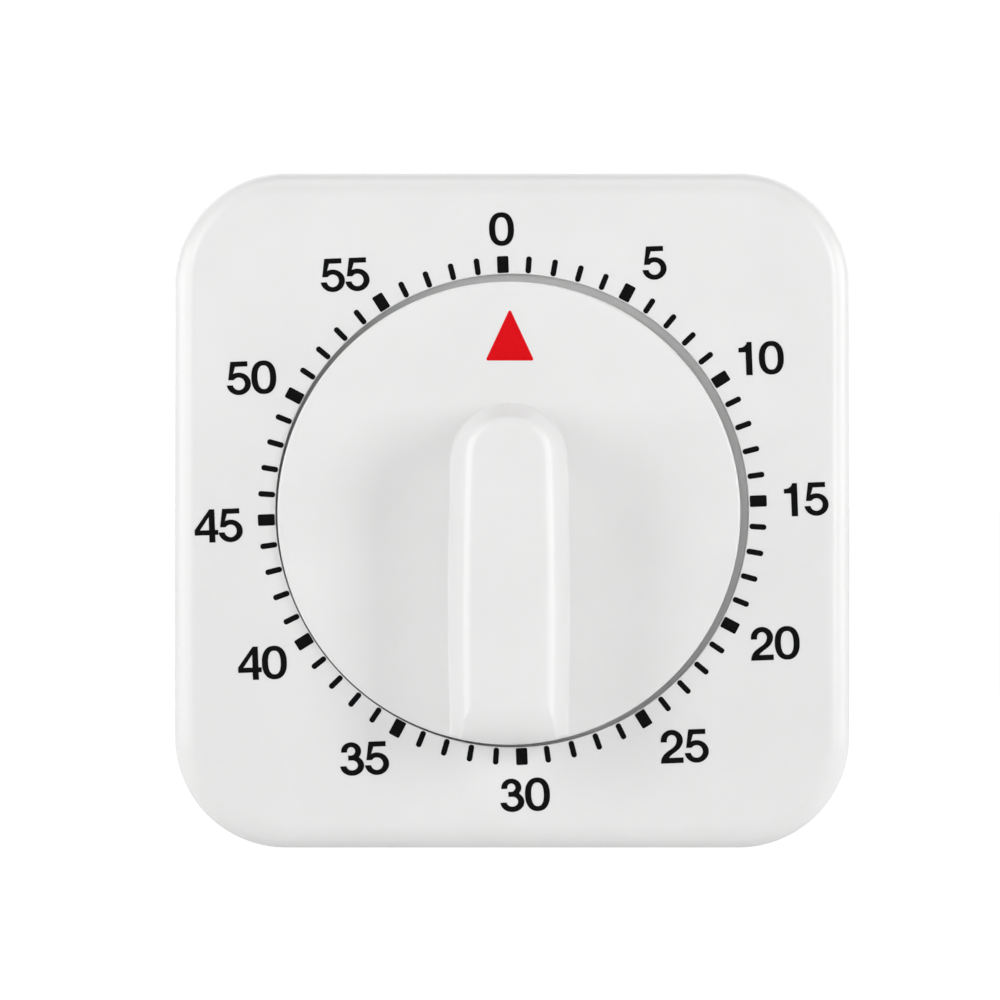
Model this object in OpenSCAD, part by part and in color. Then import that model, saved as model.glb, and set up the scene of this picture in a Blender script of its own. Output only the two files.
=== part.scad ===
// Sixty-minute mechanical lab timer: square housing, round turning knob with a bar grip,
// clockwork movement and bell.
// World: X right seen from the front, +Z up, front face towards -Y.
// Origin: centre of the bottom resting face.
// Pieces are drawn in local frames: x right, y up, z towards the viewer (world -Y), with z = 0
// at mid-depth. Names in _at are [x, y] places; names in _z are heights or [from, to] pairs.

/* [Housing] */
// Width and height of the square housing
case_w = 70; // [68:0.5:74]
// Depth of the housing, front face to back face
case_d = 26; // [26:0.5:28]
// Corner radius of the housing seen from the front
corner_r = 11.5; // [10.5:0.5:12]
// Rounding of the front edge
front_fillet = 2.5; // [1.5:0.1:2.6]
// Rounding of the back edge
back_fillet = 1.5; // [0.8:0.1:2]
// Thickness of the side walls and of the front wall
wall = 2; // [1.6:0.1:2]
// Depth of the round well that the knob sits in
well_depth = 1.8; // [1.4:0.1:2]

/* [Knob] */
// Radius of the knob disc
knob_r = 24; // [23:0.1:24.2]
// Radial gap between the well and the knob disc
knob_gap = 0.54; // [0.5:0.02:1]
// How far the rim of the knob stands in front of the face
knob_proud = 0.8; // [0.5:0.1:1.5]
// Width of the bar grip
grip_w = 12.2; // [11:0.1:13]
// Height of the bar grip above the disc
grip_h = 11; // [9:0.5:13]
// Upper end of the grip at its foot, above the knob's axis
grip_top = 11.4; // [9:0.1:12]
// Offset of the knob's axis from the middle of the dial, to the left
axis_left = 0.34; // [0:0.02:0.34]
// Offset of the knob's axis from the middle of the dial, downwards
axis_down = 0.26; // [0:0.02:0.26]
// Width of the pointer triangle at its base
pointer_w = 5.05; // [4:0.05:6]
// Height of the pointer triangle
pointer_h = 5.4; // [4:0.1:6]

/* [Movement] */
// Thickness of the two movement plates
plate_t = 1; // [0.8:0.1:1]
// Width of the mainspring strip
spring_w = 2.8; // [2:0.1:3]
// Turns of the mainspring drawn
spring_turns = 7; // [5:1:9]
// Radius of the bell
bell_r = 20; // [16:0.5:20]
// Height of the bell
bell_h = 4.6; // [4:0.1:4.6]

/* [Hidden] */
$fn = 48;

slip = 0.05;                     // radial clearance of turning and loose fits
press = 0.02;                    // radial clearance of tight fits
corners = [[1, 1], [-1, 1], [-1, -1], [1, -1]];

// Housing
half_w = case_w / 2;
front_z = case_d / 2;
back_z = -case_d / 2;
split_z = -5;                    // joint between the two shells
rear_in_z = back_z + 1.8;        // inside of the rear cover
inner_w = case_w - 2 * wall;
inner_r = corner_r - wall;
boss_places = [for (c = corners) (half_w - 8) * c];
well_r = knob_r + knob_gap;
well_wall = 1.6;                 // thickness of the well's floor and side
well_floor_z = front_z - well_depth;
axis_at = [-axis_left, -axis_down];  // knob's axis from the middle of the housing

// Movement plates
gap_back = -4;                   // inner face of the back plate
gap_front = 5.4;                 // inner face of the front plate
back_plate_z = [gap_back - plate_t, gap_back];
front_plate_z = [gap_front, gap_front + plate_t];
back_face_z = back_plate_z[0];
pillar_places = [[-22, -13], [8, -26], [26.5, 4], [-20.5, 26]];
screw_places = [[-27, -2], [14.5, -25], [3, 27.2]];

// ---- Frames and basic forms ----

// Frame on the knob's axis
module axis_frame() translate([axis_at[0], 0, half_w + axis_at[1]]) rotate([90, 0, 0]) children();
// Frame on the middle of the housing
module case_frame() translate([0, 0, half_w]) rotate([90, 0, 0]) children();
module at(place) translate([place[0], place[1], 0]) children();
module rod(z, r) translate([0, 0, z[0]]) cylinder(h = z[1] - z[0], r = r);
module slab(z) translate([0, 0, z[0]]) linear_extrude(z[1] - z[0]) children();
// Cutters that run 1 mm past both faces of a layer
module hole(z, r) rod([z[0] - 1, z[1] + 1], r);
module holes(z, places, r) for (p = places) at(p) hole(z, r);
// Box centred on the axis, used for screw slots
module slot(x, y, z) translate([-x / 2, -y / 2, z[0]]) cube([x, y, z[1] - z[0]]);
// Rod with a flat on its right side, from height flat_z forwards
module d_rod(z, r, flat, flat_z) difference() {
  rod(z, r);
  translate([flat, -5, flat_z]) cube([5, 10, 30]);
}

function polar(r, angle) = r * [cos(angle), sin(angle)];
function arc(centre, r, start, end, steps) =
  [for (i = [0:steps]) centre + polar(r, start + (end - start) * i / steps)];
function rounded_square(size, r) = [
  for (c = [0:3]) for (p = arc((size / 2 - r) * corners[c], r, c * 90, c * 90 + 90, 8)) p
];

// ---- Wheels and arbors ----

// Repeats a tooth given as [radius, distance to the side of the tooth's centre line]
function toothed(teeth, phase, profile) = [
  for (i = [0:teeth - 1]) for (q = profile)
    polar(q[0], phase + i * 360 / teeth + q[1] / q[0] * 180 / PI)
];
// Gear outline; tip height and half widths at [tip, pitch, root] are in units of mod,
// the pitch diameter per tooth
function gear(teeth, mod, phase, tip, half) =
  let (r = mod * [teeth / 2 + tip, teeth / 2, teeth / 2 - 1.4], h = mod * half)
  toothed(teeth, phase, [
    [r[2], -h[2]], [r[1], -h[1]], [r[0], -h[0]], [r[0], h[0]], [r[1], h[1]], [r[2], h[2]]
  ]);
function wheel_gear(teeth, mod, phase) = gear(teeth, mod, phase, 0.9, [0.24, 0.6, 0.72]);
// Pinion with a gap facing back along the direction it was placed in
function pinion(mod, dir) =
  gear(pinion_teeth, mod, dir + 180 + 180 / pinion_teeth, 0.8, [0.2, 0.52, 0.4]);
// Pointed teeth of the escape wheel and the star wheel
function spikes(teeth, r, phase) =
  let (root = r - 1.4) toothed(teeth, phase, [[root, -0.4], [r, -0.06], [r, 0.06], [root, 0.4]]);
// Window number k between two spokes of the given half width
function window(r1, r2, spokes, k, half) =
  let (start = k * 360 / spokes, end = start + 360 / spokes)
  let (g1 = half / r1 * 180 / PI, g2 = half / r2 * 180 / PI)
  concat(arc([0, 0], r1, start + g1, end - g1, 8), arc([0, 0], r2, end - g2, start + g2, 8));
// Cuts a bore and spoke windows, from radius r1 to r2, into a solid wheel
module spoked(z, bore, r1, r2, spokes, half = 0.9) difference() {
  children();
  hole(z, bore);
  for (k = [0:spokes - 1]) slab([z[0] - 1, z[1] + 1]) polygon(window(r1, r2, spokes, k, half));
}

pivot_r = 0.5;
pivot_len = 1.2;
shaft_z = [gap_back + 0.15, gap_front - 0.15];  // shoulder to shoulder of the small arbors
module pivots() {
  rod([gap_back - pivot_len, shaft_z[0]], pivot_r);
  rod([shaft_z[1], gap_front + pivot_len], pivot_r);
}
module arbor(pinion_points, pinion_z, r) {
  pivots();
  rod([shaft_z[0], pinion_z[0]], r);
  slab(pinion_z) polygon(pinion_points);
  rod([pinion_z[1], shaft_z[1]], r);
}

// Arm with two pins, one each side of the line back to the wheel it was placed from.
// dir: direction from that wheel; half: angle from the line to a pin; reach: axis to pin
function pin_places(dir, half, reach) = [for (s = [-1, 1]) polar(reach, dir + 180 + s * half)];
function arm_tip(angle, reach) = arc(polar(reach, angle), 0.7, angle - 60, angle + 60, 8);
module pin_arm(z, dir, half, reach, bore) difference() {
  slab(z) polygon(concat(
    arm_tip(dir + 180 + half, reach),
    arc([0, 0], 1.6, dir - 65, dir + 65, 10),
    arm_tip(dir + 180 - half, reach),
    [polar(1.1, dir + 180)]
  ));
  hole(z, bore);
}

// ---- Arbor places, from the knob's axis ----

drive_teeth = 72;                // great wheel and bell wheel
train_teeth = 64;                // second and third wheels
pinion_teeth = 8;
drive_mod = 0.5;
second_mod = 0.4;
third_mod = 0.35;
function mesh(teeth, mod) = (teeth + pinion_teeth) * mod / 2;  // centre distance

// Direction of each arbor from the one that drives it
second_dir = 150;
third_dir = 40;
escape_dir = 8;
balance_dir = -20;
star_dir = -35;
hammer_dir = -60;

// Pins of the balance and the hammer stand 2.5 teeth apart, just outside the teeth
pin_r = 0.25;
pin_gap = 0.1;
escape_teeth = 15;
escape_r = 6;
escape_pin_circle = escape_r + pin_r + pin_gap;
escape_half = 1.25 * 360 / escape_teeth;
balance_reach = escape_pin_circle * tan(escape_half);
star_teeth = 12;
star_r = 5;
star_pin_circle = star_r + pin_r + pin_gap;
star_half = 1.25 * 360 / star_teeth;
hammer_reach = star_pin_circle * tan(star_half);

second_at = polar(mesh(drive_teeth, drive_mod), second_dir);
third_at = second_at + polar(mesh(train_teeth, second_mod), third_dir);
escape_at = third_at + polar(mesh(train_teeth, third_mod), escape_dir);
balance_at = escape_at + polar(escape_pin_circle / cos(escape_half), balance_dir);
star_at = polar(mesh(drive_teeth, drive_mod), star_dir);
hammer_at = star_at + polar(star_pin_circle / cos(star_half), hammer_dir);
pivot_places = [second_at, third_at, escape_at, balance_at, star_at];
bell_at = [-3, 3];
lever_at = [-16, -19];
stop_r = 13;
stop_dir = 270;
stop_at = polar(stop_r, stop_dir);

// Shaft radii
rear_pivot_r = 1.2;              // main arbor, in the back plate
body_r = 2;                      // main arbor, between the plates
journal_r = 1.8;                 // main arbor, from the front plate forwards
second_shaft_r = 0.9;
third_shaft_r = 0.7;
escape_shaft_r = 0.6;
staff_r = 0.7;
star_shaft_r = 0.7;
hammer_rear_r = 1;
hammer_body_r = 1.2;
hammer_front_r = 0.8;
pillar_end_r = 1;
stud_r = 0.9;
stop_pin_r = 0.45;
post_end_r = 1.2;                // ends of the bell post

// ---- Housing ----

// Round of the outer form over z; back and front are its edge roundings
module puck(r, z, back, front) rotate_extrude($fn = 96) polygon(concat(
  [[0, z[0]]],
  back > 0 ? arc([r - back, z[0] + back], back, -90, 0, 8) : [[r, z[0]]],
  front > 0 ? arc([r - front, z[1] - front], front, 0, 90, 8) : [[r, z[1]]],
  [[0, z[1]]]
));
module shell(z, back, front)
  hull() for (c = corners) at((half_w - corner_r) * c) puck(corner_r, z, back, front);
// Inside outline of the side walls, grown outwards
function inner_form(grow) = rounded_square(inner_w + 2 * grow, inner_r + grow);

module front_housing() color("white") case_frame() difference() {
  union() {
    difference() {
      shell([split_z, front_z], 0, front_fillet);
      difference() {
        slab([split_z - 1, front_z - wall]) polygon(inner_form(0));
        rod([well_floor_z - well_wall, front_z], well_r + well_wall);
      }
    }
    // Corner bosses for the case screws
    for (p = boss_places) at(p) rod([split_z, front_z - wall + 0.2], 3);
    // Bosses that the movement is screwed to
    for (p = screw_places) at(p + axis_at) rod([front_plate_z[1], front_z - wall + 0.2], 2.3);
  }
  rod([well_floor_z, front_z + 1], well_r);
  // Opening for the knob's hub
  at(axis_at) rod([0, front_z], 4.7);
  // Screw holes
  for (p = boss_places) at(p) rod([split_z - 1, 5], 1.25);
  for (p = screw_places) at(p + axis_at) rod([0, 9.4], 0.85);
}

module lip_ring(z, grow) slab(z) difference() {
  polygon(inner_form(grow));
  polygon(inner_form(-1));
}
module rear_cover() color("white") case_frame() difference() {
  union() {
    difference() {
      shell([back_z, split_z], back_fillet, 0);
      slab([rear_in_z, split_z + 1]) polygon(inner_form(0));
    }
    // Lip that locates inside the front housing, and its root in the side walls
    lip_ring([split_z - 1.5, split_z + 1.6], -0.1);
    lip_ring([split_z - 1.5, split_z - 0.1], 0.5);
    for (p = boss_places) at(p) rod([rear_in_z - 0.2, split_z - 0.1], 3.6);
  }
  // Screw holes with a recess for each head
  for (p = boss_places) at(p) {
    rod([back_z - 1, back_z + 3], 2.6);
    rod([back_z, 0], 1.5);
  }
}

// Cross-slotted screws from the back
module case_screws() color("silver") case_frame() for (p = boss_places) at(p) difference() {
  union() {
    rod([back_z + 1.5, back_z + 3], 2.3);
    rod([back_z + 2.9, 4], 1.2);
  }
  slot(3.2, 0.6, [back_z + 1, back_z + 2.1]);
  slot(0.6, 3.2, [back_z + 1, back_z + 2.1]);
}

// ---- Knob ----

rim_z = front_z + knob_proud;    // front of the knob's rim
disc_back_z = well_floor_z + 0.5;
rim_round = 0.22;
dish_depth = 0.55;
hub_r = 4.2;
flat_x = 1.2;                    // flat of the main arbor, from its axis
grip_bottom = knob_r - 0.3;      // lower end of the grip, below the axis
bottom_round = 3.8;              // rounding of the lower end of the grip
edge_round = 0.75;               // rounding of its long edges
grip_draft = 1.6;                // how far each side leans in over its height
crown = 0.42;                    // fall of its front from the middle to the edges
end_draft = 1.45;                // how far its upper end leans in over its height
arch_h = 6.2;                    // height of the arch at its upper end
arch_power = 2.05;               // exponent of the arch's curve, 2 being an ellipse
grip_front_z = rim_z + grip_h;
grip_foot_z = well_floor_z + 1;  // back of the grip's side and front forms
crown_half = grip_w / 2 - grip_draft - edge_round;

// Disc with a rounded rim and a shallow dish
module knob_disc() rotate_extrude($fn = 128) polygon(concat(
  [[0, disc_back_z], [knob_r - 0.2, disc_back_z], [knob_r, disc_back_z + 0.2]],
  arc([knob_r - rim_round, rim_z - rim_round], rim_round, 0, 90, 4),
  [for (i = [0:12]) [knob_r - 1.5 - i * 14 / 12, rim_z - dish_depth / 2 * (1 - cos(i * 15))]],
  [[0, rim_z - dish_depth]]
));
// Side form of the grip, as [y, z]: rounded lower end, level front, rounded upper edge
function grip_side() = concat(
  [[-grip_bottom, grip_foot_z]],
  arc([-grip_bottom + bottom_round, grip_front_z - bottom_round], bottom_round, 180, 90, 8),
  arc([grip_top - end_draft - edge_round, grip_front_z - edge_round], edge_round, 90, 15, 5),
  [[grip_top + 2, grip_front_z - 4], [grip_top + 2, grip_foot_z]]
);
// End form of the grip, as [x, z]: rounded edges and crowned front
function grip_section() = let (edge_z = grip_front_z - crown - edge_round) concat(
  [[-grip_w, grip_foot_z], [-grip_w, grip_front_z - 9]],
  arc([-crown_half, edge_z], edge_round, 165, 90, 5),
  [for (i = [-5:5]) [crown_half * i / 6, grip_front_z - crown * pow(i / 6, 2)]],
  arc([crown_half, edge_z], edge_round, 90, 15, 5),
  [[grip_w, grip_front_z - 9], [grip_w, grip_foot_z]]
);
// Outline of the grip at its foot, seen from the front: arch at the upper end
function arch_y(u) = grip_top - arch_h
  + arch_h * pow(max(0, 1 - pow(abs(u), arch_power)), 1 / arch_power);
function grip_plan() = concat(
  [[-grip_w / 2, -grip_bottom - 8]],
  [for (i = [-12:12]) let (u = sin(i * 7.5)) [grip_w / 2 * u, arch_y(u)]],
  [[grip_w / 2, -grip_bottom - 8]]
);
// The plan starts 1 mm behind the rim and ends 1 mm past the grip's front,
// so its taper is stretched to give the drafts at the grip's front
plan_stretch = (grip_h + 2) / (grip_h + 1);
plan_scale = [
  1 - plan_stretch * grip_draft / (grip_w / 2),
  1 - plan_stretch * end_draft / grip_top
];
module grip_bar() intersection() {
  rotate([0, 90, 0]) rotate([0, 0, 90]) slab([-10, 10]) polygon(grip_side());
  translate([0, 20, 0]) rotate([90, 0, 0]) linear_extrude(60) polygon(grip_section());
  translate([0, 0, rim_z - 1]) linear_extrude(grip_h + 2, scale = plan_scale) polygon(grip_plan());
  rod([0, 60], grip_bottom);
}

pointer_base = 15.8;             // base of the pointer above the axis
module pointer_form(height) translate([0.1, 0, rim_z - 1.2]) linear_extrude(height) polygon([
  [-pointer_w / 2, pointer_base], [pointer_w / 2, pointer_base], [0, pointer_base + pointer_h]
]);

hollow_side = 2.9;               // grip wall beside its hollow
hollow_end = 4.5;                // grip wall at the lower end of its hollow
hollow_top = -6;                 // upper end of the hollow
module knob() color("white") axis_frame() difference() {
  union() {
    knob_disc();
    grip_bar();
    rod([8.2, disc_back_z + 0.5], hub_r);
  }
  // Bore for the main arbor
  d_rod([0, 18], journal_r + slip, flat_x + slip, 8);
  // Hollow back of the grip
  translate([-grip_w / 2 + hollow_side, -grip_bottom + hollow_end, 0]) cube([
    grip_w - 2 * hollow_side, grip_bottom - hollow_end + hollow_top, grip_front_z - 2.4
  ]);
  // Pocket for the pointer
  pointer_form(5);
}
module red_pointer() color([0.87, 0.09, 0.13]) axis_frame() pointer_form(1);
// Spring ring that grips the knob's hub
module knob_clip() color("silver") axis_frame() difference() {
  rod([8.7, 9.3], 4.65);
  rod([8, 10], hub_r + press);
  translate([0, -2, 8]) cube([6, 4, 3]);
}

// ---- Movement frame ----

plate_outline = [
  [29.3, -19.6], [29.3, 19.6], [19.4, 29.3], [-19.4, 29.3],
  [-29.3, 19.6], [-29.3, -19.6], [-19.4, -29.3], [19.4, -29.3]
];
module plate(z, axis_r, hammer_r) difference() {
  slab(z) polygon(plate_outline);
  hole(z, axis_r + slip);
  holes(z, pivot_places, pivot_r + slip);
  holes(z, [hammer_at], hammer_r + slip);
  holes(z, pillar_places, pillar_end_r + slip);
}
module front_plate() color("goldenrod") axis_frame() difference() {
  plate(front_plate_z, journal_r, hammer_front_r);
  holes(front_plate_z, screw_places, 1.15);
  holes(front_plate_z, [lever_at], stud_r + slip);
  holes(front_plate_z, [stop_at], stop_pin_r + slip);
}
module back_plate() color("goldenrod") axis_frame() difference() {
  plate(back_plate_z, rear_pivot_r, hammer_rear_r);
  holes(back_plate_z, [bell_at], post_end_r + slip);
}
module pillars() color("silver") axis_frame() for (p = pillar_places) at(p) {
  rod([back_face_z - 1.7, gap_back + 0.01], pillar_end_r);
  rod([gap_back, gap_front], 1.8);
  rod([gap_front - 0.01, front_plate_z[1]], pillar_end_r);
}
nut_z = [back_face_z - 1.5, back_face_z];
module pillar_nuts() color("silver") axis_frame() for (p = pillar_places) at(p) difference() {
  rod(nut_z, 2.2, $fn = 6);
  hole(nut_z, pillar_end_r + 0.03, $fn = 48);
}
module movement_screws() color("silver") axis_frame() for (p = screw_places) at(p) difference() {
  union() {
    rod([gap_front - 0.9, gap_front], 1.8);
    rod([gap_front - 0.1, 9.2], 0.8);
  }
  slot(4, 0.5, [gap_front - 1.4, gap_front - 0.5]);
}
// The stop pin and the cam's finger limit the knob's turn
module stop_pin() color("silver") axis_frame() at(stop_at) rod([gap_front, 8.1], stop_pin_r);

// ---- Main arbor and its pieces ----

// Rear pivot, body, and front journal with a flat for the knob
module main_arbor() color("silver") axis_frame() {
  rod([back_face_z - 0.4, gap_back + 0.1], rear_pivot_r);
  rod([gap_back + 0.1, gap_front - 0.1], body_r);
  d_rod([gap_front - 0.1, 17.4], journal_r, flat_x, 8.1);
}

// Release cam: round edge with one shallow notch, and the stop finger
cam_z = [6.8, 7.6];
cam_r = 9;
notch_dir = 232;
notch_depth = 1.1;
notch_floor = 14;                // degrees from the notch's middle to the end of its floor
notch_end = 20;                  // degrees from its middle to the end of its slope
function cam_radius(off) =
  off < notch_floor ? cam_r - notch_depth :
  off < notch_end ? cam_r - notch_depth * (notch_end - off) / (notch_end - notch_floor) : cam_r;
function cam_points() = [
  for (a = [0:3:357]) polar(cam_radius(abs((a - notch_dir + 540) % 360 - 180)), a)
];
module release_cam() color("goldenrod") axis_frame() difference() {
  union() {
    slab(cam_z) polygon(cam_points());
    // The finger lies just short of the stop pin
    rotate(stop_dir - 4) {
      translate([cam_r - 2, -0.4, 7.5]) cube([1.5, 0.8, 0.6]);
      translate([cam_r - 1.5, -0.4, 7.65]) cube([stop_r + 0.4 - cam_r + 1.5, 0.8, 0.45]);
    }
  }
  hole(cam_z, journal_r + press);
}

great_z = [-1.2, -0.4];
module great_wheel() color("goldenrod") axis_frame()
  spoked(great_z, body_r + slip, 9.5, 15.5, 5, 1.1)
    slab(great_z) polygon(wheel_gear(drive_teeth, drive_mod, second_dir));

// Ratchet wheel with slanted teeth, pressed on the arbor
ratchet_z = [0, 0.8];
ratchet_r = 4.6;
ratchet_root = ratchet_r - 0.7;
ratchet_step = 360 / 18;
// Tooth points as [radius, part of the step]
ratchet_tooth = [[ratchet_root, 0], [ratchet_r, 0.86], [ratchet_root, 0.98]];
module ratchet_wheel() color("silver") axis_frame() difference() {
  slab(ratchet_z) polygon([
    for (i = [0:17]) for (q = ratchet_tooth) polar(q[0], (i + q[1]) * ratchet_step)
  ]);
  hole(ratchet_z, body_r + press);
}

// Click: pawl on the great wheel
click_at = polar(7.6, 60);
click_beak = [[-3.4, -0.55], [-5.0, -1.35], [-3.2, -1.65], [-1.2, -1.2]];
rivet_r = 0.6;
module click() color("silver") axis_frame() at(click_at) difference() {
  slab(ratchet_z) polygon(concat(arc([0, 0], 1.35, -20, 202, 12), click_beak));
  hole(ratchet_z, rivet_r + slip);
}
module click_rivet() color("silver") axis_frame() at(click_at) {
  rod([great_z[1], 0.85], rivet_r);
  rod([0.85, 1], 1);
}
// Click spring: bent strip just in front of the great wheel
function click_spring_edge(r, order) = [for (i = order) polar(r - i * 0.03, 80 + i * 5.5)];
module click_spring() color("silver") axis_frame() slab([0.05, 0.65]) polygon(concat(
  click_spring_edge(8.75, [0:10]),
  click_spring_edge(8.45, [10:-1:0])
));

// Mainspring: flat spiral from beside the arbor, hooked round the post on the bell wheel
spring_z = 1.1;
spring_inner = 2.5;
spring_outer = 13.1;
strip_half = 0.12;               // half the strip's thickness
spring_steps = spring_turns * 30;
hook_r = 1.5;
hook_ends = [106, -118];         // angles of the hook's ends round the post
post_dir = 300;
post_at = polar(spring_outer + hook_r, post_dir);
function spiral(offset, order) = [
  for (i = order) let (t = i / spring_steps) polar(
    spring_inner + (spring_outer - spring_inner) * t + offset,
    post_dir - spring_turns * 360 * (1 - t)
  )
];
module mainspring() color("slategray") axis_frame() slab([spring_z, spring_z + spring_w])
  polygon(concat(
    spiral(strip_half, [0:spring_steps]),
    arc(post_at, hook_r - strip_half, hook_ends[0], hook_ends[1], 16),
    arc(post_at, hook_r + strip_half, hook_ends[1], hook_ends[0], 16),
    spiral(-strip_half, [spring_steps:-1:0])
  ));

bell_wheel_z = [4.3, 5];
post_pin_r = 0.6;
module bell_wheel() color("goldenrod") axis_frame() difference() {
  spoked(bell_wheel_z, body_r + 0.06, 5, 11.8, 5, 1.2)
    slab(bell_wheel_z) polygon(wheel_gear(drive_teeth, drive_mod, star_dir));
  holes(bell_wheel_z, [post_at], post_pin_r + press);
}
module spring_post() color("silver") axis_frame() at(post_at) {
  rod([1, 4.28], 1.2);
  rod([4.2, 5.1], post_pin_r);
}

// ---- Going train ----

second_z = [-2.6, -2];
third_z = [-3.7, -3.2];
escape_z = [0.4, 0.9];
module second_arbor() color("silver") axis_frame() at(second_at)
  arbor(pinion(drive_mod, second_dir), [-1.6, 0], second_shaft_r);
module second_wheel() color("goldenrod") axis_frame() at(second_at)
  spoked(second_z, second_shaft_r + press, 3.2, 10.6, 4)
    slab(second_z) polygon(wheel_gear(train_teeth, second_mod, third_dir));
module third_arbor() color("silver") axis_frame() at(third_at)
  arbor(pinion(second_mod, third_dir), [-2.95, -1.65], third_shaft_r);
module third_wheel() color("goldenrod") axis_frame() at(third_at)
  spoked(third_z, third_shaft_r + press, 2.8, 9.2, 4)
    slab(third_z) polygon(wheel_gear(train_teeth, third_mod, escape_dir));
module escape_arbor() color("silver") axis_frame() at(escape_at)
  arbor(pinion(third_mod, escape_dir), [-3.75, -2.7], escape_shaft_r);
module escape_wheel() color("goldenrod") axis_frame() at(escape_at)
  spoked(escape_z, escape_shaft_r + press, 1.6, 3.6, 3, 0.4)
    slab(escape_z) polygon(spikes(escape_teeth, escape_r, balance_dir));

// Balance: staff, arm that carries two pins, and a rimmed wheel
balance_arm_z = [1.4, 1.9];
balance_wheel_z = [2.3, 3.5];
balance_pins = pin_places(balance_dir, 90 - escape_half, balance_reach);
module balance_staff() color("silver") axis_frame() at(balance_at) {
  pivots();
  rod(shaft_z, staff_r);
}
module balance_arm() color("silver") axis_frame() at(balance_at) difference() {
  pin_arm(balance_arm_z, balance_dir, 90 - escape_half, balance_reach, staff_r + press);
  holes(balance_arm_z, balance_pins, pin_r + press);
}
module pallet_pins() color("silver") axis_frame() at(balance_at)
  for (p = balance_pins) at(p) rod([0.1, balance_arm_z[1]], pin_r);
module balance_wheel() color("goldenrod") axis_frame() at(balance_at)
  spoked(balance_wheel_z, staff_r + press, 1.8, 4.7, 2, 0.6) rod(balance_wheel_z, 6.2);

// ---- Striking work ----

star_z = [-3.2, -2.6];
module star_arbor() color("silver") axis_frame() at(star_at)
  arbor(pinion(drive_mod, star_dir), [4, 5.15], star_shaft_r);
module star_wheel() color("silver") axis_frame() at(star_at) difference() {
  slab(star_z) polygon(spikes(star_teeth, star_r, hammer_dir));
  hole(star_z, star_shaft_r + press);
}

// Hammer: arbor, anchor with two pins, wire arm, head and lock arm
arm_dir = 81.8;
arm_len = 16.9;                  // hammer's axis to the middle of its head
wire_r = 0.55;
hammer_hub_z = [-7.3, -5.9];
lock_z = [6.9, 7.7];
// Rod along the arm's direction, starting at the given distance
module arm_rod(start, length, r)
  rotate(arm_dir) translate([start, 0, -6.6]) rotate([0, 90, 0]) cylinder(h = length, r = r);
module hammer_arbor() color("silver") axis_frame() at(hammer_at) {
  rod([-7.4, gap_back + 0.1], hammer_rear_r);
  rod([gap_back + 0.1, gap_front - 0.1], hammer_body_r);
  rod([gap_front - 0.1, 8.3], hammer_front_r);
}
module hammer_anchor() color("silver") axis_frame() at(hammer_at) {
  pin_arm([-2.2, -1.6], hammer_dir, 90 - star_half, hammer_reach, hammer_body_r + press);
  for (p = pin_places(hammer_dir, 90 - star_half, hammer_reach)) at(p) rod([-3.5, -2.15], pin_r);
}
module hammer_arm() color("silver") axis_frame() at(hammer_at) difference() {
  union() {
    rod(hammer_hub_z, 1.9);
    arm_rod(1.2, arm_len - 1.5, wire_r);
  }
  hole(hammer_hub_z, hammer_rear_r + press);
}
module hammer_head() color("goldenrod") axis_frame() at(hammer_at + polar(arm_len, arm_dir))
  difference() {
    rod([-8, -5.6], 1.8);
    arm_rod(-4, 3.8, wire_r + press);
  }
module lock_arm() color("silver") axis_frame() at(hammer_at) difference() {
  union() {
    rod(lock_z, 1.6);
    rotate(168) translate([1.2, -0.6, lock_z[0]]) cube([5, 1.2, 0.8]);
  }
  hole(lock_z, hammer_front_r + press);
}

// Release lever: nose by the cam's notch, tail towards the lock arm
nose = polar(cam_r + 0.08, notch_dir);
tail = [10.2, -17.6];
lever_points = [
  lever_at + [-1.9, 0.9], lever_at + [-0.4, 2.1],
  nose + [-3.2, 1.0], nose + [-1.1, 1.15], nose + [-0.08, -0.1], nose + [0.6, -1.1],
  lever_at + [9.5, 1.6], tail + [0, 0.5], tail + [0, -0.9], lever_at + [9, -0.4],
  lever_at + [0.6, -2], lever_at + [-1.5, -1.6]
];
lever_spring_points = [[-4.6, -5.2], [-4.3, -5.4], [6.6, -1.75], [6.5, -1.45]];
module release_lever() color("silver") axis_frame() difference() {
  slab(cam_z) polygon(lever_points);
  holes(cam_z, [lever_at], stud_r + slip);
}
module lever_stud() color("silver") axis_frame() at(lever_at) {
  rod([gap_front, 7.7], stud_r);
  rod([7.7, 8.3], 1.6);
}
module lever_spring() color("silver") axis_frame() at(lever_at)
  slab([6.9, 7.4]) polygon(lever_spring_points);

// Bell: thin domed cup, open towards the movement
bell_wall = 0.7;
bell_flat = 6;                   // radius of the flat crown
bell_bore = 1.25;
bell_rim_z = back_face_z - 0.7;
bell_crown_z = bell_rim_z - bell_h;
function bell_curve(width, height, order) =
  [for (i = order) [bell_flat + width * sin(i * 9), bell_rim_z - height * cos(i * 9)]];
module bell() color("silver") axis_frame() at(bell_at) rotate_extrude($fn = 96) polygon(concat(
  [[bell_bore, bell_crown_z], [bell_flat, bell_crown_z]],
  bell_curve(bell_r - bell_flat, bell_h, [0:10]),
  bell_curve(bell_r - bell_flat - bell_wall, bell_h - bell_wall, [10:-1:0]),
  [[bell_bore, bell_crown_z + bell_wall]]
));
module bell_post() color("silver") axis_frame() at(bell_at) difference() {
  union() {
    rod([bell_crown_z + bell_wall, back_face_z], 2.4);
    rod([back_face_z - 0.1, gap_back], post_end_r);
    rod([bell_crown_z + 0.1, bell_crown_z + 0.8], post_end_r);
  }
  rod([-20, bell_crown_z + 3], 0.75);
}
module bell_screw() color("silver") axis_frame() at(bell_at) difference() {
  union() {
    rod([bell_crown_z - 0.6, bell_crown_z], 2.2);
    rod([bell_crown_z - 0.1, bell_crown_z + 2.8], 0.7);
  }
  slot(6, 0.5, [bell_crown_z - 1, bell_crown_z - 0.3]);
}

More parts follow.
